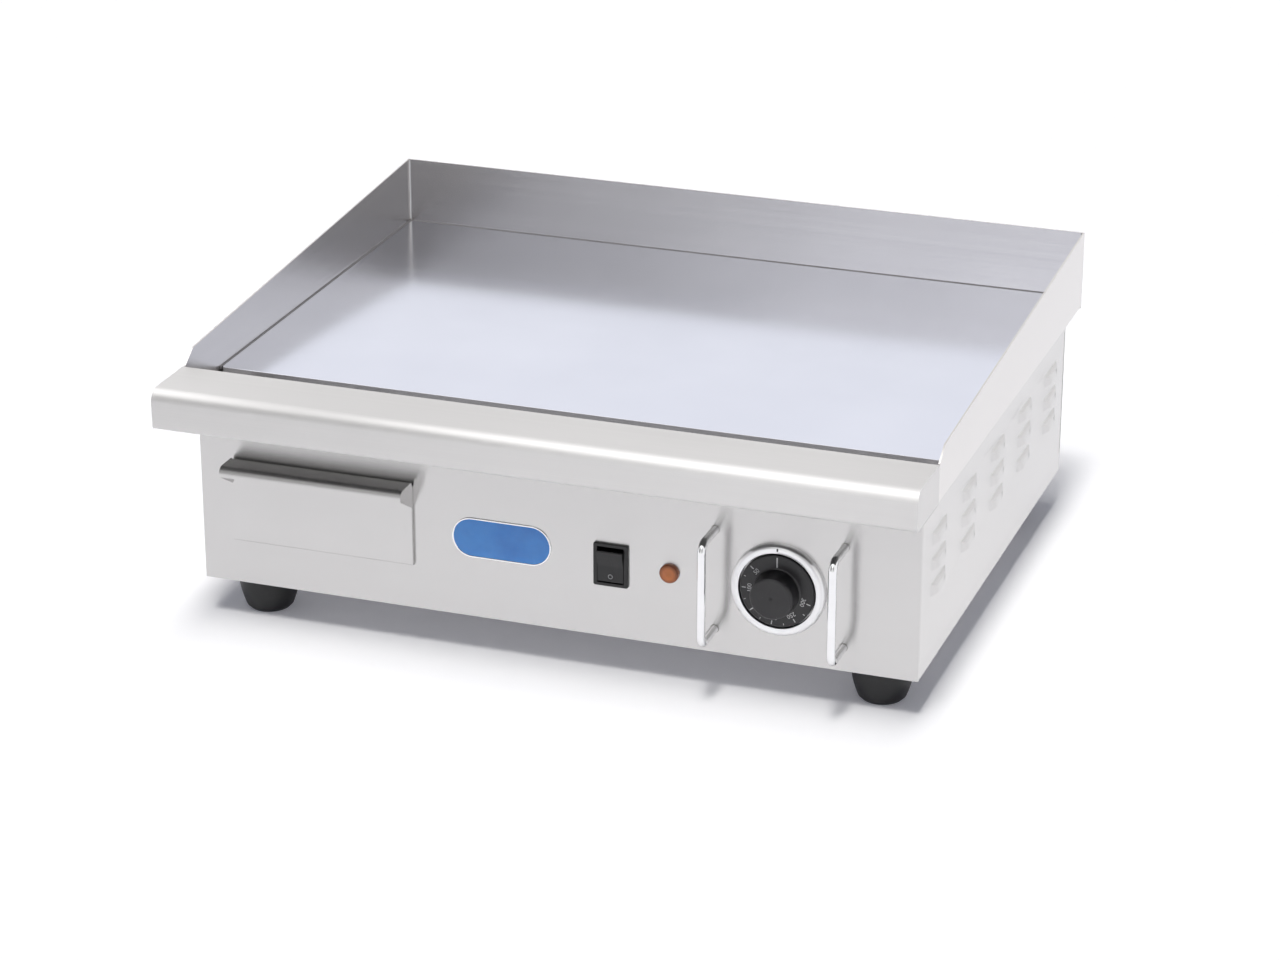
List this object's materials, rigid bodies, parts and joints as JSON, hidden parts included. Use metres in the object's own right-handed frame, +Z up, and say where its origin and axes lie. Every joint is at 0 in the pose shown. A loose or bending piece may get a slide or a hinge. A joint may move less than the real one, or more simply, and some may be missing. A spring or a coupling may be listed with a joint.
{
  "type": "countertop electric griddle",
  "caption": "Stainless countertop electric griddle: flat chrome plate in a splash guard, rounded front rail, drip drawer, thermostat dial between guard bars, rocker switch, lamp and feet.",
  "frame": {"origin": "on the worktop, under the middle of the overall box", "axes": "+X to the right seen from the front, +Y to the rear, so the controls face -Y, +Z up"},
  "size_m": [0.55, 0.462, 0.222],
  "materials": {
    "stainless": "satin brushed",
    "plate_chrome": "polished",
    "bright_chrome": "polished",
    "foot_black": "satin",
    "grommet_rubber": "matte",
    "knob_black": "satin",
    "switch_black": "satin",
    "lens_amber": "translucent",
    "lamp_white": "matte",
    "zinc_steel": "zinc plated",
    "element_sheath": "oxidised",
    "shield_alu": "mill",
    "copper_tube": "drawn",
    "tin_blade": "plain",
    "block_ceramic": "matte"
  },
  "bodies": {
    "housing": {"base_pan": "stainless", "side_panel_left": "stainless", "side_panel_right": "stainless", "rear_panel": "stainless", "front_panel": "stainless", "cooking_plate": "plate_chrome", "splash_back": "stainless", "splash_side_left": "stainless", "splash_side_right": "stainless", "front_rail": "stainless", "grease_trough": "stainless", "drain_spout": "stainless", "foot_front_left": "foot_black", "foot_front_right": "foot_black", "foot_rear_left": "foot_black", "foot_rear_right": "foot_black", "cable_grommet": "grommet_rubber", "dial_bezel": "bright_chrome", "guard_bar_left": "bright_chrome", "guard_bar_right": "bright_chrome", "guard_bar_nuts": "zinc_steel", "switch_housing": "switch_black", "switch_terminals": "tin_blade", "lamp_lens": "lens_amber", "lamp_body": "lamp_white", "drawer_runner_left": "stainless", "drawer_runner_right": "stainless", "heating_element_front": "element_sheath", "heating_element_rear": "element_sheath", "element_pins": "element_sheath", "element_clamp_bars": "zinc_steel", "heat_shield": "shield_alu", "plate_studs": "zinc_steel", "stud_nuts": "zinc_steel", "thermostat_body": "zinc_steel", "thermostat_blades": "tin_blade", "thermostat_screws": "zinc_steel", "thermostat_bulb": "copper_tube", "capillary_tube": "copper_tube", "terminal_block": "block_ceramic", "earth_stud": "zinc_steel", "earth_nut": "zinc_steel", "foot_screws": "zinc_steel", "foot_nuts": "zinc_steel", "casing_screws": "zinc_steel"},
    "drawer": {"drawer_front": "stainless", "drawer_tray": "stainless"},
    "rocker": {"switch_rocker": "switch_black"},
    "dial": {"dial_knob": "knob_black", "thermostat_spindle": "zinc_steel"}
  },
  "joints": [
    {"name": "drawer_slide", "type": "slide", "parent": "housing", "child": "drawer", "axis": [0, -1, 0], "range_m": [0, 0.215]},
    {"name": "rocker_tilt", "type": "hinge", "parent": "housing", "child": "rocker", "pos_m": [0.045, -0.177, 0.0855], "axis": [-1, 0, 0], "range_deg": [0, 16]},
    {"name": "dial_turn", "type": "hinge", "parent": "housing", "child": "dial", "pos_m": [0.166, -0.1795, 0.0855], "axis": [0, 1, 0], "range_deg": [0, 254]}
  ]
}
